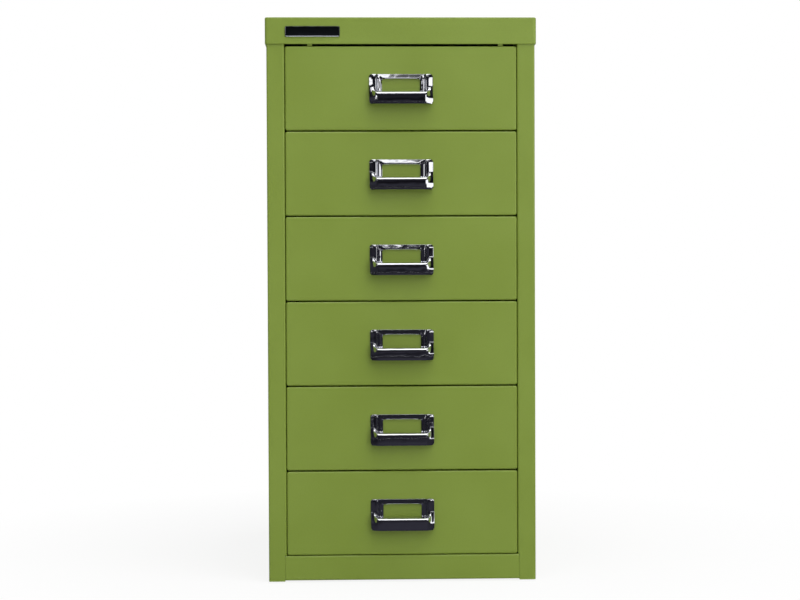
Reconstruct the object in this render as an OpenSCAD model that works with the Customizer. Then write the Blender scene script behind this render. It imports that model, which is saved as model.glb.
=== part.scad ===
// Small six-drawer steel cabinet: a welded, powder-coated carcase under a folded cap, six trays
// with double-skinned fronts that slide on channel runners, and chromed cup pulls with a card frame.
// Millimetres. +Z is up, the drawers open towards -Y, and the origin is at the middle of the floor
// area. What is drawn for the right-hand side is mirrored for the left.

/* [Cabinet] */
// Overall height, from the floor to the top of the cap
overall_h = 590; // [450:5:800]
// Width of the body below the cap
body_w = 280; // [230:1:400]
// Depth over the cap, handles left out
overall_d = 380; // [300:5:500]

/* [Carcase sheet] */
// Sheet thickness of the sides, back, base, plinth and front rail
carcase_t = 0.9; // [0.7:0.1:1.2]
// Outside radius of the carcase bends
bend_r = 2; // [1.6:0.1:3]
// Width of the stile beside the drawers
stile_w = 18.7; // [14:0.1:30]
// Depth of the return behind the stile's inner edge
stile_return = 15; // [10:0.5:20]
// Width of the side panel's return at the back
back_return = 12; // [8:0.5:18]
// Width of the flange at the top of a side panel
top_flange = 12; // [8:0.5:16]
// Width of the flange at the bottom of a side panel
bottom_flange = 20; // [18:0.5:30]

/* [Cap] */
// Sheet thickness of the cap
cap_t = 0.7; // [0.6:0.1:1]
// Height of the cap's fascia and skirts
fascia_h = 27.9; // [22:0.1:40]
// Outside radius of the bend between the cap's top and its skirts
cap_bend_r = 1.5; // [1.2:0.1:2.4]
// Gap inside the hem folded up along the cap's lower edge
hem_gap = 0.1; // [0.1:0.05:0.5]
// Height of that hem
hem_h = 10; // [6:0.5:14]

/* [Plinth and base] */
// Height of the plinth below the bottom drawer
plinth_h = 26; // [20:0.1:40]
// How far the plinth's lower edge is above the lower edge of the sides
plinth_lift = 0.9; // [0.5:0.1:3]
// Depth of the plinth's flanges
plinth_d = 16; // [12:0.5:24]
// How far each end of the plinth runs past the side of the drawer opening
plinth_lap = 1.5; // [0.5:0.1:4]
// Seam between the plinth and the stiles
plinth_seam = 0.2; // [0.1:0.05:0.5]
// How far the base panel lies below the plinth's top
base_drop = 2; // [1:0.5:5]
// Outside radius of the base panel's corners
base_corner_r = 3; // [2.5:0.1:5]

/* [Front rail] */
// How far the rail starts above the cap's lower edge
rail_rise = 3; // [2:0.5:6]
// Depth of the rail's flanges
rail_d = 14; // [8:0.5:20]
// Width of the two guide pips that reach down from the rail
pip_w = 5; // [3:0.5:8]
// Distance of the left pip's middle from the left stile
pip_left_in = 26.3; // [10:0.1:60]
// Distance of the right pip's middle from the right stile
pip_right_in = 17.3; // [10:0.1:60]
// Clearance between a pip and the top drawer
pip_clear = 0.35; // [0.3:0.05:0.8]

/* [Gaps round the drawer fronts] */
// Gap between the cap and the top drawer
top_gap = 2; // [1.5:0.1:3]
// Gap between one drawer front and the next
front_gap = 1.3; // [0.8:0.1:3]
// Gap between the bottom drawer's front and the plinth
plinth_gap = 0.7; // [0.5:0.1:2]
// Gap between a drawer front and a stile
side_gap = 0.5; // [0.4:0.1:1.5]

/* [Drawer fronts] */
// Sheet thickness of a drawer front
front_t = 0.8; // [0.6:0.1:1]
// Outside radius of the front's bends
front_bend_r = 1.8; // [1.4:0.1:2.1]
// Radius of the front's corners
front_corner_r = 2.2; // [2.1:0.1:4]
// Depth of the front, from its face to its rear lips
front_d = 14; // [11:0.5:15]
// How far the rear lips overlap the flat of the tray's front wall, where they are welded
lip_lap = 2; // [1.5:0.5:4]

/* [Trays] */
// Sheet thickness of a tray
tray_t = 0.7; // [0.6:0.1:0.9]
// Outside radius of the bend round the tray's floor
tray_bend_r = 2; // [1.5:0.1:3]
// Outside radius of the tray's corners
tray_corner_r = 3.5; // [3:0.1:5]
// Outside radius of the bend that turns a side's upper edge outwards
flange_bend_r = 1.2; // [1:0.1:1.5]
// How far the tray's floor is above the lower edge of its front
tray_rise = 3; // [1:0.5:6]
// How far the tray's upper edge is below the top of its front
tray_head = 7.7; // [7:0.1:12]
// Room between the tray's side and the drawer opening's side
runner_room = 6; // [5.6:0.1:8]
// Room behind a closed tray
tray_back_room = 8.8; // [6:0.1:14]
// Length of the tray that stays in the cabinet when the drawer is open
tray_hold = 60; // [50:1:120]

/* [Runners] */
// Sheet thickness of a runner
runner_t = 1; // [0.8:0.1:1.2]
// Height of a runner
runner_h = 8.6; // [8:0.1:9.5]
// Outside radius of a runner's bends
runner_bend_r = 1.4; // [1.3:0.1:2]
// Sheet thickness of the liner that carries the runners
liner_t = 0.8; // [0.6:0.1:1]
// How far the liner's face is set back from the drawer opening's side
liner_set = 0.2; // [0:0.1:0.5]
// Gap between the liner and what is in front of it and behind it
liner_gap = 1.5; // [1:0.1:3]
// Width of the lips that fix the liner to the side panel
liner_lip = 12; // [8:0.5:16]
// How far the liner's top is below the cap
liner_drop = 25; // [10:1:28]
// Sliding clearance between a tray, its glides and the runners
slide_clear = 0.3; // [0.3:0.05:0.5]
// Gap between the tray's side and the edge of its runner
ledge_clear = 0.5; // [0.3:0.05:0.8]
// Gap between the tray flange's edge and the runner's web
flange_clear = 1; // [0.8:0.05:1.2]
// Thickness of the nylon pad at the front of a runner
pad_t = 1.2; // [0.8:0.1:1.6]
// Length of that pad
pad_l = 12; // [8:0.5:20]
// Length of the nylon glide clipped to the rear end of a tray's flange
glide_l = 18; // [12:0.5:25]
// Play between a glide and the flange that it is clipped to
glide_play = 0.05; // [0.02:0.01:0.1]
// Thickness of the stops at the two ends of a runner
stop_t = 1.5; // [1:0.1:3]
// Clearance of the front stop over the tray's flange
stop_clear = 0.5; // [0.3:0.1:0.8]

/* [Handle] */
// Width of the handle
handle_w = 67; // [60:0.5:80]
// Height of the handle
handle_h = 31.8; // [30:0.1:38]
// Sheet thickness of the handle
handle_t = 0.8; // [0.6:0.1:1]
// Radius of the handle's corners
handle_corner_r = 2.6; // [1.5:0.1:4]
// How far the hood stands out from the drawer front
handle_proud = 13; // [11:0.5:18]
// How far the handle's middle is below the middle of the drawer front
handle_drop = 1.3; // [0:0.1:5]
// Height of the hood that the fingers go into
hood_h = 13.3; // [12:0.1:16]
// Radius of the hood's upper front edge
nose_r = 4; // [3:0.1:5]
// Width of the hood's front
hood_front_w = 51; // [44:0.5:54]
// Radius of the hood's two vertical front edges
cheek_r = 3; // [2:0.1:4]
// How far the outer edges of the hood's cheeks stand out, where its sides turn back
cheek_foot = 6.4; // [4:0.1:7]
// How far the rounded rim beside the card frame stands out
rim_proud = 3.4; // [3:0.1:4]
// Radius of the rim's two long edges
rim_r = 2.5; // [1.5:0.1:2.6]
// Width of the card frame
card_frame_w = 51; // [48:0.5:54]
// Depth of the slot behind the card frame
card_slot = 1.5; // [1:0.1:2.5]
// Width of the card window
window_w = 40; // [34:0.5:42]
// Height of the bar over the card window
top_bar_h = 5.2; // [3:0.1:7]
// Height of the lip below the card window
card_lip_h = 0.5; // [0.3:0.1:1]
// Radius of the card window's upper corners
window_r = 2; // [1:0.1:3]
// Distance between the two rivet studs
stud_pitch = 59; // [57:0.5:60]
// Height of the studs above the lower edge of the handle
stud_z = 22; // [19:0.5:26]
// Diameter of a stud
stud_d = 3; // [2:0.1:4]
// Clearance all round a stud in the drawer front
stud_clear = 0.2; // [0.1:0.05:0.4]
// Diameter of the head formed on a stud inside the drawer front
stud_head_d = 5.5; // [5:0.1:7]
// Thickness of that head
stud_head_t = 1; // [0.6:0.1:2]

/* [Nameplate] */
// Width of the blank nameplate
plate_w = 57; // [40:1:80]
// Height of the nameplate
plate_h = 11; // [8:0.5:12]
// Thickness of the nameplate
plate_t = 1; // [0.8:0.1:2]
// Radius of the nameplate's corners
plate_r = 1.5; // [1:0.1:3]
// Distance of the nameplate's middle from the left side of the cap
plate_in = 49.5; // [46:0.5:80]
// Distance of the nameplate's middle below the top of the cap
plate_drop = 15; // [12:0.5:16]
// Distance between the nameplate's two pins
plate_pin_pitch = 40; // [20:1:46]
// Diameter of a pin
plate_pin_d = 2; // [1.5:0.1:3]
// How far a pin shows behind the fascia
plate_pin_end = 0.8; // [0.4:0.1:1.2]
// Clearance all round a pin
plate_pin_clear = 0.1; // [0.05:0.05:0.3]

/* [Floor glides] */
// Thickness of the glide's disc, which holds the sheet metal off the floor
floor_glide_t = 1; // [0.5:0.25:4]
// Diameter of the disc
floor_glide_d = 14; // [10:0.5:16]
// Diameter of the stem in the side panel's bottom flange
floor_stem_d = 6; // [4:0.5:8]
// Length of the stem above the flange
floor_stem_l = 4; // [2:0.5:8]
// Clearance all round the stem
floor_stem_clear = 0.15; // [0.1:0.05:0.3]
// Distance of the glide's middle from the cabinet's side
floor_glide_in = 10.5; // [10:0.5:14]
// Distance of the glides' middles from the front and the back of the body
floor_glide_set = 40; // [30:1:80]

/* [Hidden] */
$fn = 48;
drawer_count = 6;
paint = "#7f9146";
tray_paint = "#738440";
chrome = "#c9ccd0";
nylon = "#26282a";
plate_finish = "#3b3e42";
// How far a cutting shape runs past what it cuts
over = 1;

// Quarter turns that name a section's corners: right and left, upper and lower
upper_right = 0;
upper_left = 90;
lower_left = 180;
lower_right = 270;
all_corners = [upper_right, upper_left, lower_left, lower_right];

// Cap and body
cap_overhang = 2 * cap_t + hem_gap;
cap_w = body_w + 2 * cap_overhang;
cap_corner_r = bend_r + cap_overhang;
plate_x = plate_in - cap_w / 2;
body_x = body_w / 2;
inner_x = body_x - carcase_t;
opening_x = body_x - stile_w;
body_bottom = floor_glide_t;
body_top = overall_h - cap_t;
fascia_bottom = overall_h - fascia_h;
// The origin is halfway between the fronts of the handles and the back of the cap
face_y = -(overall_d - cap_overhang - handle_proud) / 2;
cap_front_y = face_y - cap_overhang;
body_back_y = cap_front_y + overall_d - cap_overhang;
back_panel_y = body_back_y - 2 * carcase_t;

// Plinth and base
plinth_bottom = body_bottom + plinth_lift;
plinth_top = plinth_bottom + plinth_h;
plinth_x = opening_x + plinth_lap;
base_top = plinth_top - base_drop;
base_bottom = body_bottom + carcase_t;
base_front_y = face_y + plinth_d;

// Drawer fronts
front_w = 2 * (opening_x - side_gap);
stack_bottom = plinth_top + plinth_gap;
stack_top = fascia_bottom - top_gap;
pitch = (stack_top - stack_bottom + front_gap) / drawer_count;
front_h = pitch - front_gap;

// Trays, measured from the lower edge of their own front
tray_x = opening_x - runner_room;
tray_front_y = face_y + front_d;
tray_back_y = back_panel_y - tray_back_room;
tray_d = tray_back_y - tray_front_y;
tray_top = front_h - tray_head;
travel = tray_d - tray_hold;

// Runners, at the same heights
liner_x = opening_x + liner_set;
liner_front_y = face_y + max(stile_return, plinth_d) + liner_gap;
liner_back_y = back_panel_y - liner_gap;
web_x = liner_x - runner_t;
flange_x = web_x - flange_clear;
ledge_x = tray_x + ledge_clear;
flange_under = tray_top - tray_t;
pad_top = flange_under - slide_clear;
ledge_top = pad_top - pad_t;
runner_bottom = ledge_top - runner_t;
lip_under = runner_bottom + runner_h - runner_t;
glide_back_y = tray_back_y - tray_corner_r;
glide_front_y = glide_back_y - glide_l;
front_stop_y = glide_front_y - travel - slide_clear;
runner_front_y = liner_front_y + bend_r;
runner_back_y = glide_back_y + slide_clear + stop_t;

// Handle, measured from its own lower edge
handle_z = front_h / 2 - handle_drop - handle_h / 2;
window_bottom = hood_h + card_lip_h;
cheek_run = (handle_w - hood_front_w) / 2;
cheek_rise = handle_proud - cheek_foot;
cheek_side = sqrt(cheek_run ^ 2 + cheek_rise ^ 2);
cheek_normal = [cheek_rise, cheek_run] / cheek_side;
cheek_lean = cheek_run / cheek_rise;
cheek_centre = [
    handle_w / 2 - (handle_proud - cheek_r - cheek_foot) * cheek_lean - cheek_r / cheek_normal.x,
    handle_proud - cheek_r
];

function drawer_name(n, piece) = str("drawer_", n, "_", piece);
function runner_name(side, n) = str(side, "_runner_", n);
// Height of the lower edge of drawer n's front, with drawer 1 at the top
function front_bottom(n) = stack_bottom + (drawer_count - n) * pitch;

carcase_nodes = [
    "top_cap", "left_side_panel", "right_side_panel", "back_panel", "base_panel",
    "front_plinth", "top_front_rail", "left_runner_liner", "right_runner_liner",
    "left_runner_pads", "right_runner_pads", "nameplate", "floor_glides"
];
runner_nodes = [for (side = ["left", "right"], n = [1 : drawer_count]) runner_name(side, n)];
drawer_nodes = [
    for (n = [1 : drawer_count], piece = ["tray", "front", "handle", "glides"])
        drawer_name(n, piece)
];

// ---------- Sections and folded shapes ----------

// Rectangle from (x0, y0) to (x1, y1) with the named corners rounded
module section(x0, y0, x1, y1, r, corners) {
    difference() {
        translate([x0, y0]) square([x1 - x0, y1 - y0]);
        for (corner = corners) {
            right = corner == upper_right || corner == lower_right;
            upper = corner == upper_right || corner == upper_left;
            translate([right ? x1 - r : x0 + r, upper ? y1 - r : y0 + r]) rotate(corner)
                difference() {
                    square(r + over);
                    circle(r);
                }
        }
    }
}

// Sheet bent round a rectangle: the same rectangle less one thickness all round
module sheet_tube(x0, y0, x1, y1, r, t) {
    difference() {
        section(x0, y0, x1, y1, r, all_corners);
        section(x0 + t, y0 + t, x1 - t, y1 - t, r - t, all_corners);
    }
}

// Sheet that lies along the top and turns down at its right end, corner_r out from the left
module fold_section(corner_r, depth, t, r) {
    difference() {
        section(0, -depth, corner_r, 0, r, [upper_right]);
        section(-over, -depth - over, corner_r - t, -t, r - t, [upper_right]);
    }
}

// Runs a section round a rectangle with rounded corners. The section's x is measured outwards
// from the corner centres and its y is the height.
module ring(w, d, corner_r) {
    for (quarter = [0 : 3]) {
        even = quarter % 2 == 0;
        out = (even ? w : d) / 2 - corner_r;
        run = (even ? d : w) - 2 * corner_r;
        rotate([0, 0, quarter * 90]) translate([out, 0, 0]) {
            rotate([90, 0, 0]) linear_extrude(run, center = true) children();
            translate([0, run / 2, 0]) rotate_extrude(angle = 90) children();
        }
    }
}

// The flat sheet inside a ring, its top at z = 0
module ring_floor(w, d, corner_r, t) {
    translate([corner_r - w / 2, corner_r - d / 2, -t])
        cube([w - 2 * corner_r, d - 2 * corner_r, t]);
}

// Folded pan, face up at z = 0, with its walls turned down
module pan(w, d, corner_r, depth, t, r) {
    ring(w, d, corner_r) fold_section(corner_r, depth, t, r);
    ring_floor(w, d, corner_r, t);
}

// Box between two corners
module block(low, high) {
    translate(low) cube(high - low);
}

// Extrudes a section drawn in x and z along y, from y0 to y1
module along_y(y0, y1) {
    translate([0, y1, 0]) rotate([90, 0, 0]) linear_extrude(y1 - y0) children();
}

// Draws the right-hand piece as it is, and the left-hand one mirrored
module on_side(side) {
    mirror([side == "left" ? 1 : 0, 0, 0]) children();
}

// ---------- Carcase ----------

// Upright edge of the cap, with its lower edge folded up inside as a hem
module cap_section() {
    hem_w = 2 * cap_t + hem_gap;
    hem_top = hem_w / 2 - fascia_h;
    fold_section(cap_corner_r, -hem_top, cap_t, cap_bend_r);
    translate([cap_corner_r - hem_w / 2, hem_top]) difference() {
        circle(hem_w / 2);
        circle(hem_gap / 2);
        translate([-hem_w, 0]) square([2 * hem_w, hem_w]);
    }
    translate([cap_corner_r - hem_w, hem_top]) square([cap_t, hem_h - hem_w / 2]);
}

module top_cap() {
    color(paint) difference() {
        translate([0, cap_front_y + overall_d / 2, overall_h]) {
            ring(cap_w, overall_d, cap_corner_r) cap_section();
            ring_floor(cap_w, overall_d, cap_corner_r, cap_t);
        }
        nameplate_pins(plate_pin_d + 2 * plate_pin_clear, over);
    }
}

// Side, stile, the stile's return and the return at the back, bent from one sheet
module side_panel(side) {
    color(paint) on_side(side) difference() {
        union() {
            translate([0, 0, body_bottom]) linear_extrude(body_top - body_bottom) difference() {
                sheet_tube(opening_x, face_y, body_x, body_back_y, bend_r, carcase_t);
                translate([opening_x - over, face_y + stile_return])
                    square([stile_w + over - back_return, overall_d]);
            }
            block(
                [body_x - top_flange, face_y + bend_r, body_top - carcase_t],
                [inner_x + carcase_t / 2, body_back_y - bend_r, body_top]
            );
            block(
                [body_x - bottom_flange, face_y + bend_r, body_bottom],
                [inner_x + carcase_t / 2, body_back_y - bend_r, base_bottom]
            );
        }
        // Room for the plinth's end
        block(
            [0, face_y - over, body_bottom - over],
            [plinth_x + plinth_seam, base_front_y, plinth_top + plinth_seam]
        );
        for (y = floor_glide_rows())
            translate([body_x - floor_glide_in, y, body_bottom - over])
                cylinder(h = carcase_t + 2 * over, d = floor_stem_d + 2 * floor_stem_clear);
    }
}

// Flat sheet inside the side panels' returns, clear of their bends
module back_panel() {
    back_x = body_x - bend_r;
    color(paint) block(
        [-back_x, back_panel_y, base_bottom],
        [back_x, back_panel_y + carcase_t, body_top - carcase_t]
    );
}

module base_panel() {
    base_d = back_panel_y - base_front_y;
    color(paint) translate([0, base_front_y + base_d / 2, base_top])
        pan(2 * inner_x, base_d, base_corner_r, base_top - base_bottom, carcase_t, bend_r);
}

// Channel with its web at the front and its flanges turned back
module front_channel(x, bottom, top, depth) {
    rotate([90, 0, 90]) linear_extrude(2 * x, center = true) difference() {
        section(face_y, bottom, face_y + depth, top, bend_r, [upper_left, lower_left]);
        section(
            face_y + carcase_t, bottom + carcase_t, face_y + depth + over, top - carcase_t,
            bend_r - carcase_t, [upper_left, lower_left]
        );
    }
}

module front_plinth() {
    color(paint) front_channel(plinth_x, plinth_bottom, plinth_top, plinth_d);
}

// Rail between the stiles, with two guide pips over the top drawer
module top_front_rail() {
    rail_bottom = fascia_bottom + rail_rise;
    color(paint) {
        front_channel(opening_x, rail_bottom, body_top, rail_d);
        for (x = [pip_left_in - opening_x, opening_x - pip_right_in])
            block(
                [x - pip_w / 2, face_y, stack_top + pip_clear],
                [x + pip_w / 2, face_y + carcase_t, rail_bottom + bend_r]
            );
    }
}

// ---------- Runners ----------

// Upright hat section that stands off the side panel and carries the six runners
module runner_liner(side) {
    color(paint) on_side(side) translate([0, 0, base_top])
        linear_extrude(body_top - liner_drop - base_top) difference() {
            sheet_tube(liner_x, liner_front_y, inner_x, liner_back_y, bend_r, liner_t);
            translate([inner_x - bend_r, liner_front_y + liner_lip])
                square([bend_r + over, liner_back_y - liner_front_y - 2 * liner_lip]);
        }
}

// Channel that the tray's flange runs in, with a stop at each end
module runner(side, n) {
    color(paint) on_side(side) translate([0, 0, front_bottom(n)]) {
        along_y(runner_front_y, runner_back_y) difference() {
            section(
                ledge_x, runner_bottom, liner_x, runner_bottom + runner_h,
                runner_bend_r, [upper_right, lower_right]
            );
            section(
                ledge_x - over, ledge_top, web_x, lip_under,
                runner_bend_r - runner_t, [upper_right, lower_right]
            );
        }
        block(
            [ledge_x, front_stop_y - stop_t, tray_top + stop_clear],
            [web_x + runner_t / 2, front_stop_y, lip_under + runner_t / 2]
        );
        block(
            [ledge_x, runner_back_y - stop_t, runner_bottom + runner_t / 2],
            [web_x + runner_t / 2, runner_back_y, lip_under + runner_t / 2]
        );
    }
}

// Nylon pads on the front ends of the six runners
module runner_pads(side) {
    color(nylon) on_side(side) for (n = [1 : drawer_count])
        translate([0, 0, front_bottom(n)]) block(
            [ledge_x, runner_front_y, ledge_top],
            [web_x - (runner_bend_r - runner_t), runner_front_y + pad_l, pad_top]
        );
}

// ---------- Small parts of the carcase ----------

module nameplate_pins(d, end) {
    for (x = [-1, 1] * plate_pin_pitch / 2)
        translate([x + plate_x, cap_front_y - plate_t / 2, overall_h - plate_drop])
            rotate([-90, 0, 0]) cylinder(h = plate_t / 2 + cap_t + end, d = d);
}

// Blank plate on the fascia, held by two pins
module nameplate() {
    color(plate_finish) {
        translate([plate_x, 0, overall_h - plate_drop])
            along_y(cap_front_y - plate_t, cap_front_y)
                section(-plate_w / 2, -plate_h / 2, plate_w / 2, plate_h / 2, plate_r, all_corners);
        nameplate_pins(plate_pin_d, plate_pin_end);
    }
}

function floor_glide_rows() = [face_y + floor_glide_set, body_back_y - floor_glide_set];

// Four nylon glides plugged into the side panels' bottom flanges
module floor_glides() {
    color(nylon) for (x = [-1, 1] * (body_x - floor_glide_in), y = floor_glide_rows())
        translate([x, y, 0]) {
            cylinder(h = floor_glide_t, d = floor_glide_d);
            cylinder(h = base_bottom + floor_stem_l, d = floor_stem_d);
        }
}

// ---------- Drawers ----------

// Folded tray with its side edges turned outwards over the runners
module drawer_tray(n) {
    wall_h = tray_top - tray_rise - flange_bend_r;
    color(tray_paint) translate([0, 0, front_bottom(n)]) {
        translate([0, tray_front_y + tray_d / 2, tray_rise]) rotate([180, 0, 0])
            pan(2 * tray_x, tray_d, tray_corner_r, wall_h, tray_t, tray_bend_r);
        for (side = ["left", "right"]) on_side(side)
            along_y(tray_front_y + tray_corner_r, glide_back_y) difference() {
                section(
                    tray_x - tray_t, tray_top - flange_bend_r, flange_x, tray_top,
                    flange_bend_r, [upper_left]
                );
                section(
                    tray_x, tray_top - flange_bend_r - over, flange_x + over, flange_under,
                    flange_bend_r - tray_t, [upper_left]
                );
            }
    }
}

// Outer skin of the double front: face, returns and rear lips
module drawer_front(n) {
    mid = front_h / 2;
    lip_x = tray_x - tray_corner_r - lip_lap;
    lip_low = tray_rise + tray_bend_r + lip_lap - mid;
    lip_high = tray_top - flange_bend_r - lip_lap - mid;
    color(paint) difference() {
        translate([0, face_y, front_bottom(n) + mid]) rotate([90, 0, 0]) {
            ring(front_w, front_h, front_corner_r) difference() {
                section(0, -front_d, front_corner_r, 0, front_bend_r, [upper_right, lower_right]);
                section(
                    -over, front_t - front_d, front_corner_r - front_t, -front_t,
                    front_bend_r - front_t, [upper_right, lower_right]
                );
            }
            ring_floor(front_w, front_h, front_corner_r, front_t);
            difference() {
                translate([0, 0, front_t - front_d])
                    ring_floor(front_w, front_h, front_corner_r, front_t);
                block([-lip_x, lip_low, -front_d - over], [lip_x, lip_high, front_t + over - front_d]);
            }
        }
        handle_studs(n, stud_d + 2 * stud_clear);
    }
}

// Rivet studs of the handle, or the holes for them
module handle_studs(n, d) {
    reach = rim_proud - handle_t / 2;
    for (x = [-1, 1] * stud_pitch / 2)
        translate([x, face_y - reach, front_bottom(n) + handle_z + stud_z])
            rotate([-90, 0, 0]) cylinder(h = reach + front_t + stud_head_t / 2, d = d);
}

// The hood seen from above: a front, slanting cheeks beside it and straight sides. With
// inset = handle_t it is the inner skin, rounded about the same centres.
module hood_plan(inset) {
    r = cheek_r - inset;
    tangent = cheek_centre + r * cheek_normal;
    side_x = handle_w / 2 - inset;
    side_y = (side_x - tangent.x) / cheek_lean - tangent.y;
    polygon([
        [side_x, over], [side_x, side_y], [tangent.x, -tangent.y],
        [cheek_centre.x, -cheek_centre.y - r], [-cheek_centre.x, -cheek_centre.y - r],
        [-tangent.x, -tangent.y], [-side_x, side_y], [-side_x, over]
    ]);
    for (x = [-1, 1] * cheek_centre.x) translate([x, -cheek_centre.y]) circle(r);
}

// Solid under the hood's outer skin, or with inset = handle_t under its inner skin
module hood_form(inset) {
    intersection() {
        translate([0, 0, -over]) linear_extrude(hood_h + 2 * over) hood_plan(inset);
        rotate([90, 0, -90]) linear_extrude(handle_w + 2 * over, center = true)
            section(
                -over, -over, handle_proud - inset, hood_h - inset, nose_r - inset, [upper_right]
            );
    }
}

// Upright rims at the two sides, or with inset = handle_t the hollow behind them
module handle_rims(inset) {
    for (side = ["left", "right"]) on_side(side)
        translate([0, 0, -over]) linear_extrude(handle_h + over - inset) section(
            card_frame_w / 2 - handle_t + inset, inset - rim_proud, handle_w / 2 - inset, inset,
            rim_r - inset, [lower_left, lower_right]
        );
}

// Cup pull with a card frame between two rims, pressed from one sheet
module drawer_handle(n) {
    frame_x = card_frame_w / 2;
    slot_x = frame_x - handle_t;
    color(chrome) {
        translate([0, face_y, front_bottom(n) + handle_z]) difference() {
            intersection() {
                union() {
                    handle_rims(0);
                    block([-frame_x, -card_slot - handle_t, 0], [frame_x, 0, handle_h]);
                    hood_form(0);
                }
                along_y(-handle_proud, 0) handle_outline();
            }
            hood_form(handle_t);
            handle_rims(handle_t);
            block([-slot_x, -card_slot, hood_h], [slot_x, over, handle_h + over]);
            along_y(-handle_proud, over)
                section(-window_w / 2, window_bottom, window_w / 2, handle_h - top_bar_h,
                    window_r, [upper_right, upper_left]);
        }
        handle_studs(n, stud_d);
        for (x = [-1, 1] * stud_pitch / 2)
            translate([x, face_y + front_t, front_bottom(n) + handle_z + stud_z])
                rotate([-90, 0, 0]) cylinder(h = stud_head_t, d = stud_head_d);
    }
}

module handle_outline() {
    section(-handle_w / 2, 0, handle_w / 2, handle_h, handle_corner_r, all_corners);
}

// Nylon glides clipped over the rear ends of the tray's flanges
module drawer_glides(n) {
    inner = ledge_x + ledge_clear;
    color(nylon) for (side = ["left", "right"]) on_side(side)
        translate([0, 0, front_bottom(n)]) difference() {
            block(
                [inner, glide_front_y, ledge_top + slide_clear],
                [web_x - slide_clear, glide_back_y, lip_under - slide_clear]
            );
            block(
                [inner - over, glide_front_y - over, flange_under - glide_play],
                [flange_x + glide_play, glide_back_y + over, tray_top + glide_play]
            );
        }
}

// ---------- The pieces ----------

top_cap();
side_panel("left");  // left_side_panel
side_panel("right");  // right_side_panel
back_panel();
base_panel();
front_plinth();
top_front_rail();
runner_liner("left");  // left_runner_liner
runner_liner("right");  // right_runner_liner
runner_pads("left");  // left_runner_pads
runner_pads("right");  // right_runner_pads
nameplate();
floor_glides();
for (side = ["left", "right"], n = [1 : drawer_count])
    runner(side, n);
for (n = [1 : drawer_count]) {
    drawer_tray(n);
    drawer_front(n);
    drawer_handle(n);
    drawer_glides(n);
}
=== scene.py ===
# Small six-drawer steel cabinet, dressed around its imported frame.
# Folded sheet steel with an olive powder coat, six pressed and chromium-plated cup pulls with a
# card frame, nylon glides, and a blank anodised nameplate. All pieces are in metres.
from math import asin, atan2, degrees, hypot, pi, radians

import bpy
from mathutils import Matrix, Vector


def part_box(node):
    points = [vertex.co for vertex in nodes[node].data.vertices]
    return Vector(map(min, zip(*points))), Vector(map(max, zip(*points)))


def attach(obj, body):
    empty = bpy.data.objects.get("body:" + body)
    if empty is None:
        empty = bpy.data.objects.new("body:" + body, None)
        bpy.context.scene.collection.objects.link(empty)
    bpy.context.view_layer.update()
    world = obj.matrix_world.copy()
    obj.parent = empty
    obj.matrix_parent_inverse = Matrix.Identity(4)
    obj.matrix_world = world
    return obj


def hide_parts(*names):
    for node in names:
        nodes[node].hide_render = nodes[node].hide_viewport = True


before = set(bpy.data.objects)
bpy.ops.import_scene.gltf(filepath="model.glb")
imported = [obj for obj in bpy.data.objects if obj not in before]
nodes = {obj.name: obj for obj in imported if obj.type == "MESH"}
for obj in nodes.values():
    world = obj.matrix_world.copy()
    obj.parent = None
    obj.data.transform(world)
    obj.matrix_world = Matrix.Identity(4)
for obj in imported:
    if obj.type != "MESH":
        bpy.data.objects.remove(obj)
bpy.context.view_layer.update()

MM = 0.001
DRAWERS = range(1, 7)
# Vertices closer together than this are one
MERGE = 0.01 * MM
# The mix node's colour sockets, which it names like its other kinds' sockets
COLOUR_A, COLOUR_B, COLOUR_OUT = 6, 7, 2


# ---------- Materials ----------

def linear(code):
    """The linear colour of an sRGB hex value."""
    parts = [int(code[i:i + 2], 16) / 255 for i in (1, 3, 5)]
    return [c / 12.92 if c <= 0.04045 else ((c + 0.055) / 1.055) ** 2.4 for c in parts] + [1.0]


def add(tree, kind, values=None, links=None, **settings):
    """Adds one node. values are its sockets' own numbers, and links the sockets that feed it."""
    node = tree.nodes.new("ShaderNode" + kind)
    for name, value in settings.items():
        setattr(node, name, value)
    for name, value in (values or {}).items():
        node.inputs[name].default_value = value
    for name, socket in (links or {}).items():
        tree.links.new(socket, node.inputs[name])
    return node


def per_mm(size):
    """The noise scale at which features are about this many millimetres across."""
    return 1 / (size * MM)


def new_material(name):
    """An empty material and its tree."""
    material = bpy.data.materials.new(name)
    material.use_nodes = True
    material.node_tree.nodes.clear()
    return material, material.node_tree


def mixed(tree, factor, first, second):
    """A colour between two hex colours."""
    mix = add(tree, "Mix", links={"Factor": factor}, data_type="RGBA")
    mix.inputs[COLOUR_A].default_value = linear(first)
    mix.inputs[COLOUR_B].default_value = linear(second)
    return mix.outputs[COLOUR_OUT]


def ranged(tree, value, low, high, start=0.3, end=0.7):
    """A noise value between start and end, spread from low to high."""
    return add(tree, "MapRange", {"From Min": start, "From Max": end, "To Min": low, "To Max": high},
               {"Value": value}).outputs["Result"]


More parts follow.
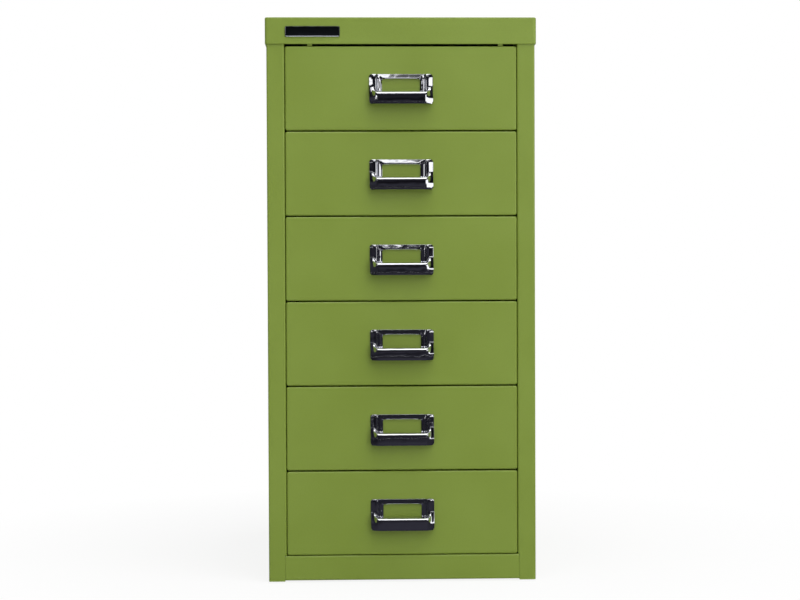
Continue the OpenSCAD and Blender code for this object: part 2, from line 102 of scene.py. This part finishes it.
def powder_coat(name, deep, light, roughness, peel_depth):
    """Cured polyester powder on steel sheet: an even satin film with a fine orange peel, in which
    the grains of the two pigments still show a little."""
    material, tree = new_material(name)
    place = add(tree, "TexCoord").outputs["Object"]
    clouds = add(tree, "TexNoise", {"Scale": per_mm(90), "Detail": 2.0}, {"Vector": place}).outputs["Fac"]
    grains = add(tree, "TexNoise", {"Scale": per_mm(0.9), "Detail": 1.0}, {"Vector": place}).outputs["Fac"]
    peel = add(tree, "TexNoise", {"Scale": per_mm(2.6), "Detail": 1.5}, {"Vector": place}).outputs["Fac"]
    both = add(tree, "Math", links={0: clouds, 1: grains}, operation="ADD").outputs[0]
    shade = ranged(tree, both, 0.0, 1.0, 0.75, 1.25)
    bump = add(tree, "Bump", {"Strength": 1.0, "Distance": peel_depth * MM}, {"Height": peel})
    shader = add(tree, "BsdfPrincipled", {"Metallic": 0.0, "IOR": 1.5},
                 {"Base Color": mixed(tree, shade, deep, light),
                  "Roughness": ranged(tree, clouds, roughness - 0.03, roughness + 0.04),
                  "Normal": bump.outputs["Normal"]})
    add(tree, "OutputMaterial", links={"Surface": shader.outputs[0]})
    return material


def chromium_plate():
    """Bright chromium over nickel on a deep-drawn pressing: a blue-white mirror that waves slightly
    where the sheet was drawn, with faint buffing marks."""
    material, tree = new_material("bright chromium plate on pressed steel")
    place = add(tree, "TexCoord").outputs["Object"]
    draw = add(tree, "TexNoise", {"Scale": per_mm(11), "Detail": 1.0}, {"Vector": place}).outputs["Fac"]
    buffed = add(tree, "Mapping", {"Scale": (0.15, 1.0, 1.0)}, {"Vector": place}).outputs[0]
    marks = add(tree, "TexNoise", {"Scale": per_mm(0.5), "Detail": 2.0}, {"Vector": buffed}).outputs["Fac"]
    bump = add(tree, "Bump", {"Strength": 1.0, "Distance": 0.25 * MM}, {"Height": draw})
    shader = add(tree, "BsdfPrincipled", {"Metallic": 1.0},
                 {"Base Color": mixed(tree, draw, "#d2d3da", "#dedfe3"),
                  "Roughness": ranged(tree, marks, 0.035, 0.085),
                  "Normal": bump.outputs["Normal"]})
    add(tree, "OutputMaterial", links={"Surface": shader.outputs[0]})
    return material


def moulded_nylon():
    """Injection-moulded black nylon 6: dull, with the fine grain of a spark-eroded mould."""
    material, tree = new_material("moulded black nylon")
    place = add(tree, "TexCoord").outputs["Object"]
    grain = add(tree, "TexNoise", {"Scale": per_mm(0.35), "Detail": 2.0}, {"Vector": place}).outputs["Fac"]
    flow = add(tree, "TexNoise", {"Scale": per_mm(6), "Detail": 1.0}, {"Vector": place}).outputs["Fac"]
    bump = add(tree, "Bump", {"Strength": 1.0, "Distance": 0.02 * MM}, {"Height": grain})
    shader = add(tree, "BsdfPrincipled", {"IOR": 1.53},
                 {"Base Color": mixed(tree, flow, "#1b1c1e", "#26282a"),
                  "Roughness": ranged(tree, grain, 0.48, 0.62),
                  "Normal": bump.outputs["Normal"]})
    add(tree, "OutputMaterial", links={"Surface": shader.outputs[0]})
    return material


def anodised(name, deep, light, roughness):
    """Brushed and anodised aluminium: fine lines along the plate under a hard clear or dyed film."""
    material, tree = new_material(name)
    place = add(tree, "TexCoord").outputs["Object"]
    along = add(tree, "Mapping", {"Scale": (0.03, 1.0, 1.0)}, {"Vector": place}).outputs[0]
    lines = add(tree, "TexNoise", {"Scale": per_mm(0.22), "Detail": 2.0}, {"Vector": along}).outputs["Fac"]
    bump = add(tree, "Bump", {"Strength": 1.0, "Distance": 0.012 * MM}, {"Height": lines})
    shader = add(tree, "BsdfPrincipled", {"Metallic": 1.0},
                 {"Base Color": mixed(tree, lines, deep, light),
                  "Roughness": ranged(tree, lines, roughness - 0.05, roughness + 0.08),
                  "Normal": bump.outputs["Normal"]})
    add(tree, "OutputMaterial", links={"Surface": shader.outputs[0]})
    return material


coat = powder_coat("olive powder coat on sheet steel", "#798d35", "#7f9439", 0.33, 0.05)
tray_coat = powder_coat("olive powder coat on tray sheet", "#76873f", "#7e8f46", 0.45, 0.06)
chrome = chromium_plate()
nylon = moulded_nylon()
plate_field = anodised("dark anodised aluminium, brushed", "#2b2e33", "#3a3d43", 0.42)
plate_rim = anodised("clear anodised aluminium, diamond cut", "#8f9297", "#a3a6ab", 0.25)

for name, node in nodes.items():
    if name.endswith(("pads", "glides")):
        finish = nylon
    elif name.endswith("handle"):
        finish = chrome
    elif name.endswith("tray"):
        finish = tray_coat
    elif name == "nameplate":
        finish = plate_field
    else:
        finish = coat
    node.data.materials.clear()
    node.data.materials.append(finish)


# ---------- Modelling by hand ----------

def deselect():
    """Leaves edit mode with nothing selected."""
    if bpy.context.object and bpy.context.object.mode != "OBJECT":
        bpy.ops.object.mode_set(mode="OBJECT")
    bpy.ops.object.select_all(action="DESELECT")


def only(piece):
    """Makes the piece the one selected object."""
    deselect()
    piece.select_set(True)
    bpy.context.view_layer.objects.active = piece
    return piece


def pick(piece, kind, wanted):
    """Enters edit mode with just those vertices, edges or faces selected that are wanted."""
    only(piece)
    bpy.ops.object.mode_set(mode="EDIT")
    bpy.ops.mesh.select_mode(type=kind)
    bpy.ops.mesh.select_all(action="DESELECT")
    bpy.ops.object.mode_set(mode="OBJECT")
    parts = {"VERT": piece.data.vertices, "EDGE": piece.data.edges, "FACE": piece.data.polygons}
    for part in parts[kind]:
        part.select = bool(wanted(part))
    bpy.ops.object.mode_set(mode="EDIT")


def finish_with(piece, kind, **settings):
    """Adds a modifier and applies it."""
    only(piece)
    modifier = piece.modifiers.new(kind.lower(), kind)
    for name, value in settings.items():
        setattr(modifier, name, value)
    bpy.ops.object.modifier_apply(modifier=modifier.name)


def placed(piece):
    """Moves the object's place into its mesh."""
    only(piece)
    bpy.ops.object.transform_apply(location=True, rotation=True, scale=True)


def joined(name, pieces):
    """Makes the pieces one, with this name."""
    only(pieces[0])
    for piece in pieces:
        piece.select_set(True)
    bpy.ops.object.join()
    pieces[0].name = pieces[0].data.name = name
    return pieces[0]


def dressed(piece, *finishes):
    """Gives the piece its materials."""
    piece.data.materials.clear()
    for finish in finishes:
        piece.data.materials.append(finish)


# ---------- Pulls ----------
# The face of the first drawer and the lower edge of its pull, which the pull's sizes start from
face_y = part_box("drawer_1_front")[0].y
foot_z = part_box("drawer_1_handle")[0].z

# The pressing, in millimetres from its own middle and lower edge: half its width, its height, the
# round corners of its outline and the thickness of its sheet
HALF_W, HEIGHT, CORNER_R, SHEET = 33.5, 31.75, 2.7, 0.6
# The card window, its round corners, how far round it they show, and the groove that ends its bars
WINDOW_X, WINDOW_LOW, WINDOW_TOP, WINDOW_R, WINDOW_SPREAD = 20.0, 13.5, 26.6, 4.5, 5
GROOVE_X = 25.3
# How near the pressing's outer edge comes to the drawer's face
EDGE_LIFT = 0.02
# The hood: how far it stands out, how much its lower edge is tucked in and up to what height, and
# how much its face is crowned about its middle height
HOOD_OUT, TUCK, TUCK_Z, CROWN, CROWN_Z = 13.05, 0.45, 2.6, 0.12, 5
# The hood's shoulder: its height, and where, how fast and how far it climbs beside the window
SHOULDER_Z, SHOULDER_X, CLIMB_RATE, CLIMB_WIDTH = 11.8, 25.4, 0.13, 5.0
# The shoulder's nose: how far below the line it starts, its height, and how square it is
NOSE_BELOW, NOSE_HEIGHT, NOSE_SQUARE = 2, 3.55, 6
# The slope that takes the shoulder's place at the ends: its foot and top, and where it takes over
SLOPE_LOW, SLOPE_TOP, TAKE_OVER, TAKE_OVER_WIDTH = 7, 18.5, 1.2, 3.4
# How far the skin stands out: the rims and the cheeks by their distance from the middle, the bars
# beside and over the window by their distance from it, the upper bar's crest, and the part of the
# rims' that is left towards the upper edge
RIM = [(GROOVE_X, 0.7), (25.5, 1.9), (25.9, 3.05), (26.6, 3.35), (27.8, 3.4), (29.2, 3.12), (30.6, 2.68),
       (31.7, 2.22), (32.5, 1.82), (33.1, 1.46), (33.4, 1.25)]
CHEEK = [(24, HOOD_OUT), (25.1, 12.95), (25.9, 12.6), (26.6, 12.15), (33.4, 7.3)]
BAR = [(0, 1.15), (0.5, 1.3), (1.4, 1.42), (1.9, 1.65), (2.4, 2.15), (2.9, 2.45), (3.5, 2.45), (4.3, 2.05),
       (4.9, 1.4), (5.3, 0.7)]
TOP_BAR = [(0, 2.4), (0.3, 2.48), (0.8, 2.5), (1.4, 2.34), (2.2, 2.06), (5.1, 1.0)]
TOP_CREST = 0.8
TOP_END = [(15.2, 1.0), (28.8, 0.9), (30, 0.82), (31.1, 0.68), (31.5, 0.61), (31.7, 0.56)]
# Lines of the cage, close together where the sheet turns
CAGE_X = [0, 8, 14, 17.3, 18.8, WINDOW_X, 20.5, 21.4, 21.9, 22.4, 22.9, 23.5, 24.3, 24.9, GROOVE_X, 25.5,
          25.9, 26.6, 27.3, 28.1, 29, 30, 31, 31.9, 32.6, 33.1, 33.4, HALF_W]
CAGE_Z = [0, 0.5, 2, 4.6, 6.7, 7.3, 9, 10.4, 11.5, 12.3, 12.9, 13.2, 13.32, WINDOW_LOW, 14.2, 15.2, 16.3,
          17.5, 18.3, 18.9, 21, 23.4, 25.2, WINDOW_TOP, 26.9, 27.4, 28, 28.8, 30, 31.1, 31.5, 31.7, HEIGHT]
# How many times the cage is subdivided
SUBDIVISIONS = 2
# The rivet studs: their place on the pressing, their shank, and the head formed inside the drawer,
# with its side, its crown and how much narrower the crown's end is
STUD_X, STUD_Z, SHANK_R, SHANK_LENGTH = 29.5, 22, 1.5, 2.8
HEAD_R, HEAD_SIDE, HEAD_CROWN, HEAD_END = 2.75, 0.55, 0.45, 0.6


def read_off(table, at):
    """The value at a place, on straight lines between a table's points."""
    if at <= table[0][0]:
        return table[0][1]
    for (a, low), (b, high) in zip(table, table[1:]):
        if at <= b:
            return low + (high - low) * (at - a) / (b - a)
    return table[-1][1]


def clamped(value):
    """The value, kept between 0 and 1."""
    return min(1.0, max(0.0, value))


def eased(value):
    """Rises from 0 to 1 with a soft start and end."""
    t = clamped(value)
    return t * t * (3 - 2 * t)


def stands_out(x, z):
    """How far the pressing's skin stands out from the drawer's face at a place on it."""
    beside = max(x - WINDOW_X, WINDOW_LOW - z)
    above = z - WINDOW_TOP
    if x > GROOVE_X:
        back = read_off(RIM, x) * read_off(TOP_END, z)
    else:
        side = min(read_off(BAR, max(beside, above)), read_off(TOP_BAR, max(above, TOP_CREST)))
        corner = clamped(above / (above + max(0.0, beside))) if above > 0 else 0.0
        back = side + (read_off(TOP_BAR, max(beside, above)) - side) * corner
    # The hood has slanting cheeks, a slightly crowned face and a tucked lower edge
    hood = read_off(CHEEK, x)
    tucked = TUCK * max(0.0, 1 - z / TUCK_Z) ** 2
    crowned = CROWN * ((z - CROWN_Z) / CROWN_Z) ** 2
    hood -= (tucked + crowned) * hood / HOOD_OUT
    # The shoulder runs along the hood and climbs a little beside the window, where it gives way to
    # a long even slope that leads from the cheek up to the rim
    climb = max(0.0, x - SHOULDER_X)
    line = SHOULDER_Z + CLIMB_RATE * min(CLIMB_WIDTH, climb) ** 2
    nose = (1 - clamped((z - line + NOSE_BELOW) / NOSE_HEIGHT) ** 2) ** (1 / NOSE_SQUARE)
    slope = clamped((SLOPE_TOP - z) / (SLOPE_TOP - SLOPE_LOW))
    faded = eased((climb - TAKE_OVER) / TAKE_OVER_WIDTH)
    return back + max(0.0, hood - back) * (nose * (1 - faded) + slope * faded)


def on_arc(x, z, centre_x, centre_z):
    """A point of a square corner, moved onto the round corner with that centre."""
    dx, dz = x - centre_x, z - centre_z
    reach = max(abs(dx), abs(dz)) / hypot(dx, dz)
    return centre_x + dx * reach, centre_z + dz * reach


def rounded_corner(x, z):
    """Pulls the square cage's corners in to the round ones of the pressing and of its window."""
    inner_x = HALF_W - CORNER_R
    if x > inner_x and (z < CORNER_R or z > HEIGHT - CORNER_R):
        return on_arc(x, z, inner_x, CORNER_R if z < CORNER_R else HEIGHT - CORNER_R)
    layer = max(x - WINDOW_X, z - WINDOW_TOP)
    radius = WINDOW_R * clamped(1 - layer / WINDOW_SPREAD)
    centre_x, centre_z = WINDOW_X + layer - radius, WINDOW_TOP + layer - radius
    if layer >= 0 and radius > 0 and x > centre_x and z > centre_z:
        return on_arc(x, z, centre_x, centre_z)
    return x, z


def pressing():
    """The one sheet of the pull: half of it is a cage whose points are moved one by one, then
    mirrored, rounded by subdivision and given the sheet's thickness."""
    deselect()
    bpy.ops.mesh.primitive_grid_add(x_subdivisions=len(CAGE_X) - 1, y_subdivisions=len(CAGE_Z) - 1,
                                    size=1, location=(0, face_y, foot_z))
    piece = bpy.context.object
    placed(piece)
    for row, z in enumerate(CAGE_Z):
        for column, x in enumerate(CAGE_X):
            vertex = row * len(CAGE_X) + column
            out = EDGE_LIFT if x == HALF_W or z == HEIGHT else stands_out(x, z)
            to_x, to_z = rounded_corner(x, z)
            end = Vector((to_x * MM, face_y - out * MM, foot_z + to_z * MM))
            start = piece.data.vertices[vertex].co.copy()
            pick(piece, "VERT", lambda v: v.index == vertex)
            bpy.ops.transform.translate(value=end - start)
            bpy.ops.object.mode_set(mode="OBJECT")
    pick(piece, "FACE", lambda f: f.center.x < WINDOW_X * MM
         and WINDOW_LOW * MM < f.center.z - foot_z < WINDOW_TOP * MM)
    bpy.ops.mesh.delete(type="FACE")
    bpy.ops.object.mode_set(mode="OBJECT")
    finish_with(piece, "MIRROR", use_axis=(True, False, False), merge_threshold=MERGE)
    finish_with(piece, "SUBSURF", levels=SUBDIVISIONS, render_levels=SUBDIVISIONS)
    only(piece)
    bpy.ops.object.mode_set(mode="EDIT")
    bpy.ops.mesh.select_all(action="SELECT")
    bpy.ops.mesh.normals_make_consistent(inside=False)
    bpy.ops.object.mode_set(mode="OBJECT")
    if sum(face.normal.y * face.area for face in piece.data.polygons) > 0:
        bpy.ops.object.mode_set(mode="EDIT")
        bpy.ops.mesh.flip_normals()
        bpy.ops.object.mode_set(mode="OBJECT")
    finish_with(piece, "SOLIDIFY", thickness=SHEET * MM, offset=-1)
    return piece


def stud(x):
    """Rivet stud of the pull with its head formed inside the drawer."""
    inner_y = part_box("drawer_1_handle")[1].y - (HEAD_SIDE + HEAD_CROWN) * MM
    centre = Vector((x * MM, inner_y, foot_z + STUD_Z * MM))
    deselect()
    bpy.ops.mesh.primitive_cylinder_add(
        vertices=24, radius=SHANK_R * MM, depth=SHANK_LENGTH * MM, rotation=(pi / 2, 0, 0),
        location=centre - Vector((0, SHANK_LENGTH / 2 * MM, 0)))
    piece = bpy.context.object
    placed(piece)
    pick(piece, "FACE", lambda f: f.normal.y > 0.9)
    bpy.ops.mesh.extrude_region_move()
    bpy.ops.transform.resize(value=(HEAD_R / SHANK_R, 1, HEAD_R / SHANK_R), center_override=centre)
    bpy.ops.mesh.extrude_region_move(TRANSFORM_OT_translate={"value": (0, HEAD_SIDE * MM, 0)})
    bpy.ops.mesh.extrude_region_move(TRANSFORM_OT_translate={"value": (0, HEAD_CROWN * MM, 0)})
    bpy.ops.transform.resize(value=(HEAD_END, 1, HEAD_END), center_override=centre)
    bpy.ops.object.mode_set(mode="OBJECT")
    return piece


def first_pull():
    """The pull of the first drawer: the pressing and its two studs."""
    pull = joined("pull_1", [pressing(), stud(-STUD_X), stud(STUD_X)])
    dressed(pull, chrome)
    only(pull)
    bpy.ops.object.shade_smooth_by_angle(angle=radians(40))
    return pull


pulls = [first_pull()]
for n in DRAWERS[1:]:
    copy = pulls[0].copy()
    copy.data = pulls[0].data.copy()
    copy.name = copy.data.name = f"pull_{n}"
    bpy.context.scene.collection.objects.link(copy)
    copy.location.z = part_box(f"drawer_{n}_handle")[0].z - foot_z
    placed(copy)
    pulls.append(copy)
for n, pull in zip(DRAWERS, pulls):
    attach(pull, f"drawer_{n}")
    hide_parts(f"drawer_{n}_handle")


# ---------- Nameplate ----------
# The plate's round corners, flat rim, cut slope, sunk field and softened edges, in millimetres
PLATE_R, PLATE_RIM, PLATE_CUT, PLATE_SUNK, PLATE_SOFT = 1.5, 0.45, 0.35, 0.3, 0.12
# The plate's pins: their distance from its middle, and their radius and softened edges
PIN_X, PIN_R, PIN_SOFT = 20, 1, 0.2


def blank_nameplate():
    """A plate left bare: a dark brushed field in a bright cut rim, on two pins."""
    low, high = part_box("nameplate")
    front_y = low.y
    cap_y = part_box("top_cap")[0].y
    middle = (low + high) / 2
    deselect()
    bpy.ops.mesh.primitive_cube_add(size=1, location=(middle.x, (front_y + cap_y) / 2, middle.z))
    plate = bpy.context.object
    plate.scale = (high.x - low.x, cap_y - front_y, high.z - low.z)
    placed(plate)

    def front_to_back(edge):
        first, last = (plate.data.vertices[end].co for end in edge.vertices)
        return abs((last - first).normalized().y) > 0.9

    pick(plate, "EDGE", front_to_back)
    bpy.ops.mesh.bevel(offset=PLATE_R * MM, segments=6)
    bpy.ops.object.mode_set(mode="OBJECT")
    pick(plate, "FACE", lambda f: f.normal.y < -0.9)
    bpy.ops.mesh.inset(thickness=PLATE_RIM * MM)
    bpy.ops.mesh.inset(thickness=PLATE_CUT * MM, depth=-PLATE_SUNK * MM)
    bpy.ops.object.mode_set(mode="OBJECT")
    dressed(plate, plate_field, plate_rim)
    # The field and the plate's back lie about its middle, and all the other faces are rim
    for face in plate.data.polygons:
        central = abs(face.center.x - middle.x) < 1 * MM and abs(face.center.z - middle.z) < 1 * MM
        face.material_index = 0 if central else 1
    finish_with(plate, "BEVEL", width=PLATE_SOFT * MM, segments=2, limit_method="ANGLE",
                angle_limit=radians(40))
    pins = []
    for x in (-PIN_X, PIN_X):
        bpy.ops.mesh.primitive_cylinder_add(
            vertices=20, radius=PIN_R * MM, depth=high.y - cap_y, rotation=(pi / 2, 0, 0),
            location=(middle.x + x * MM, (cap_y + high.y) / 2, middle.z))
        pin = bpy.context.object
        placed(pin)
        dressed(pin, plate_field)
        finish_with(pin, "BEVEL", width=PIN_SOFT * MM, segments=2, limit_method="ANGLE",
                    angle_limit=radians(60))
        pins.append(pin)
    plate = joined("blank_nameplate", [plate] + pins)
    only(plate)
    bpy.ops.object.shade_smooth_by_angle(angle=radians(35))
    return plate


nameplate = blank_nameplate()
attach(nameplate, "carcase")
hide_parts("nameplate")


# ---------- Studio ----------
# Lengths in metres and angles in degrees. The dim room is a dome that is left open overhead, at
# the floor and behind the cabinet, and a disc that covers the floor.
FLOOR_SIZE = 24
ROOM_R, ROOM_TOP, ROOM_FOOT, ROOM_SIDE = 3.2, 57, -8, 135
DISC_R, DISC_Z = 3.1, 0.002
CARD_LIGHT, DIM_CARD_LIGHT = 1.5, 0.12


def plain_white(tree):
    """1 for rays from the camera, off metal or through glass, which are to meet plain white, else 0."""
    light = add(tree, "LightPath").outputs
    seen = add(tree, "Math", links={0: light["Is Camera Ray"], 1: light["Is Glossy Ray"]},
               operation="MAXIMUM").outputs[0]
    return add(tree, "Math", links={0: seen, 1: light["Is Transmission Ray"]},
               operation="MAXIMUM").outputs[0]


def stage_material(name, strength_near, radius_near, radius_far):
    """Matt white floor that keeps the cabinet's shadow near it and is plain white further out."""
    material, tree = new_material(name)
    place = add(tree, "TexCoord").outputs["Object"]
    far = add(tree, "VectorMath", links={0: place}, operation="LENGTH").outputs["Value"]
    fade = ranged(tree, far, strength_near, 1.0, radius_near, radius_far)
    factor = add(tree, "Math", links={0: plain_white(tree), 1: fade}, operation="MULTIPLY").outputs[0]
    paper = add(tree, "BsdfDiffuse", {"Color": linear("#f4f4f4")})
    white = add(tree, "Emission", {"Color": (1, 1, 1, 1), "Strength": 1.0})
    mix = add(tree, "MixShader", links={0: factor, 1: paper.outputs[0], 2: white.outputs[0]})
    add(tree, "OutputMaterial", links={"Surface": mix.outputs[0]})
    return material


deselect()
bpy.ops.mesh.primitive_plane_add(size=FLOOR_SIZE, location=(0, 0, 0))
floor = bpy.context.object
floor.name = "floor"
dressed(floor, stage_material("white studio floor", strength_near=0.85, radius_near=0.2, radius_far=0.6))


def only_reflected(name, material):
    """Names and dresses the newest piece of the studio, which only reflections see."""
    piece = bpy.context.object
    piece.name = name
    dressed(piece, material)
    piece.visible_camera = piece.visible_diffuse = piece.visible_shadow = False
    piece.visible_transmission = piece.visible_volume_scatter = False
    return piece


def dim_room():
    """The unlit part of the studio: near black, in uneven level bands."""
    material, tree = new_material("dim studio room")
    place = add(tree, "TexCoord").outputs["Object"]
    level = add(tree, "Mapping", {"Scale": (0.25, 0.25, 1.6)}, {"Vector": place}).outputs[0]
    bands = add(tree, "TexNoise", {"Scale": 2.2, "Detail": 3.0}, {"Vector": level}).outputs["Fac"]
    glow = mixed(tree, ranged(tree, bands, 0.0, 1.0, 0.35, 0.68), "#08080c", "#3a3942")
    shine = add(tree, "Emission", {"Strength": 1.0}, {"Color": glow})
    add(tree, "OutputMaterial", links={"Surface": shine.outputs[0]})
    return material


def lit_card(name, strength):
    """White card with a light of its own, in place of the lamps that would light it."""
    material, tree = new_material(name)
    shine = add(tree, "Emission", {"Color": (1, 1, 1, 1), "Strength": strength})
    add(tree, "OutputMaterial", links={"Surface": shine.outputs[0]})
    return material


room = dim_room()
deselect()
bpy.ops.mesh.primitive_uv_sphere_add(segments=72, ring_count=36, radius=ROOM_R, location=(0, 0, 0))
dome = bpy.context.object


def open_dome(face):
    """Whether a face of the dome lies overhead, at the floor or behind."""
    centre = face.center.normalized()
    height = degrees(asin(centre.z))
    turn = degrees(atan2(centre.x, -centre.y))
    return height > ROOM_TOP or height < ROOM_FOOT or abs(turn) > ROOM_SIDE


pick(dome, "FACE", open_dome)
bpy.ops.mesh.delete(type="FACE")
bpy.ops.object.mode_set(mode="OBJECT")
only_reflected("room_round_the_front", room)

deselect()
bpy.ops.mesh.primitive_circle_add(vertices=64, radius=DISC_R, fill_type="NGON", location=(0, 0, DISC_Z))
only_reflected("unlit_floor", room)


def card(name, middle, turn, width, low, high, strength=CARD_LIGHT):
    """An upright lit card: its middle as seen from above, its turn about the upright, its width, and
    the heights of its lower and upper edges."""
    deselect()
    bpy.ops.mesh.primitive_plane_add(size=1, rotation=(pi / 2, 0, radians(turn)))
    piece = bpy.context.object
    piece.scale = (width, high - low, 1)
    piece.location = (middle[0], middle[1], (low + high) / 2)
    return only_reflected(name, lit_card(name, strength))


# The side cards are about as high as the upper pulls, so it is mostly those that show them along
# their sides. The high cards show in the upper bars of the top three pulls.
card("right_card", (1.0, -0.37), 90, 0.64, 0.335, 0.62)
card("right_front_card", (0.8, -0.99), 45, 0.66, 0.46, 0.72)
card("left_card", (-0.73, -0.8), 130, 0.62, 0.615, 0.665)
card("high_card_left", (-0.285, -1.49), 0, 0.63, 1.66, 1.95)
card("high_card_right", (0.365, -1.49), 0, 0.67, 1.66, 1.95, DIM_CARD_LIGHT)
card("high_card_middle", (0.05, -1.49), 0, 1.3, 1.52, 1.66)
card("high_card_low", (-0.275, -1.49), 0, 0.65, 1.41, 1.45)


def softbox(name, place, aim, size, power, seen=True):
    """A flat lamp of so many watts. Where it isn't seen, bright metal doesn't show it."""
    light = bpy.data.lights.new(name, "AREA")
    light.shape = "RECTANGLE"
    light.size, light.size_y = size
    light.energy = power
    lamp = bpy.data.objects.new(name, light)
    bpy.context.scene.collection.objects.link(lamp)
    lamp.location = place
    lamp.rotation_euler = (Vector(aim) - Vector(place)).to_track_quat("-Z", "Y").to_euler()
    lamp.visible_glossy = seen
    return lamp


softbox("overhead_softbox", (0.15, -0.6, 2.0), (0, 0, 0.4), (1.4, 0.5), 9)
softbox("front_softbox", (0.85, -1.45, 1.5), (0.05, 0, 0.5), (2.6, 2.2), 27, seen=False)


def studio_world(level):
    """Even light from all round, and plain white where the camera or a reflection sees past the stage."""
    world = bpy.data.worlds.new("studio")
    bpy.context.scene.world = world
    world.use_nodes = True
    tree = world.node_tree
    tree.nodes.clear()
    around = add(tree, "Background", {"Color": (1, 1, 1, 1), "Strength": level})
    white = add(tree, "Background", {"Color": (1, 1, 1, 1), "Strength": 1.0})
    mix = add(tree, "MixShader", links={0: plain_white(tree), 1: around.outputs[0], 2: white.outputs[0]})
    add(tree, "OutputWorld", links={"Surface": mix.outputs[0]})


studio_world(0.5)

# The camera stands two metres from the cabinet's middle, a little to the left and level with the
# third drawer. Its angles, in radians, are how far it looks down, rolls and turns to the right.
CAMERA_PLACE = (-0.0596, -2.0, 0.33465)
LOOKS_DOWN, ROLLS, TURNS = 0.02159, 0.00386, 0.03187
camera = bpy.data.objects.new("camera", bpy.data.cameras.new("camera"))
bpy.context.scene.collection.objects.link(camera)
camera.data.sensor_width = 36
camera.data.lens = 78.276
camera.data.clip_end = 100
camera.location = CAMERA_PLACE
camera.rotation_euler = (pi / 2 - LOOKS_DOWN, ROLLS, -TURNS)
bpy.context.scene.camera = camera
bpy.context.scene.view_settings.view_transform = "Standard"
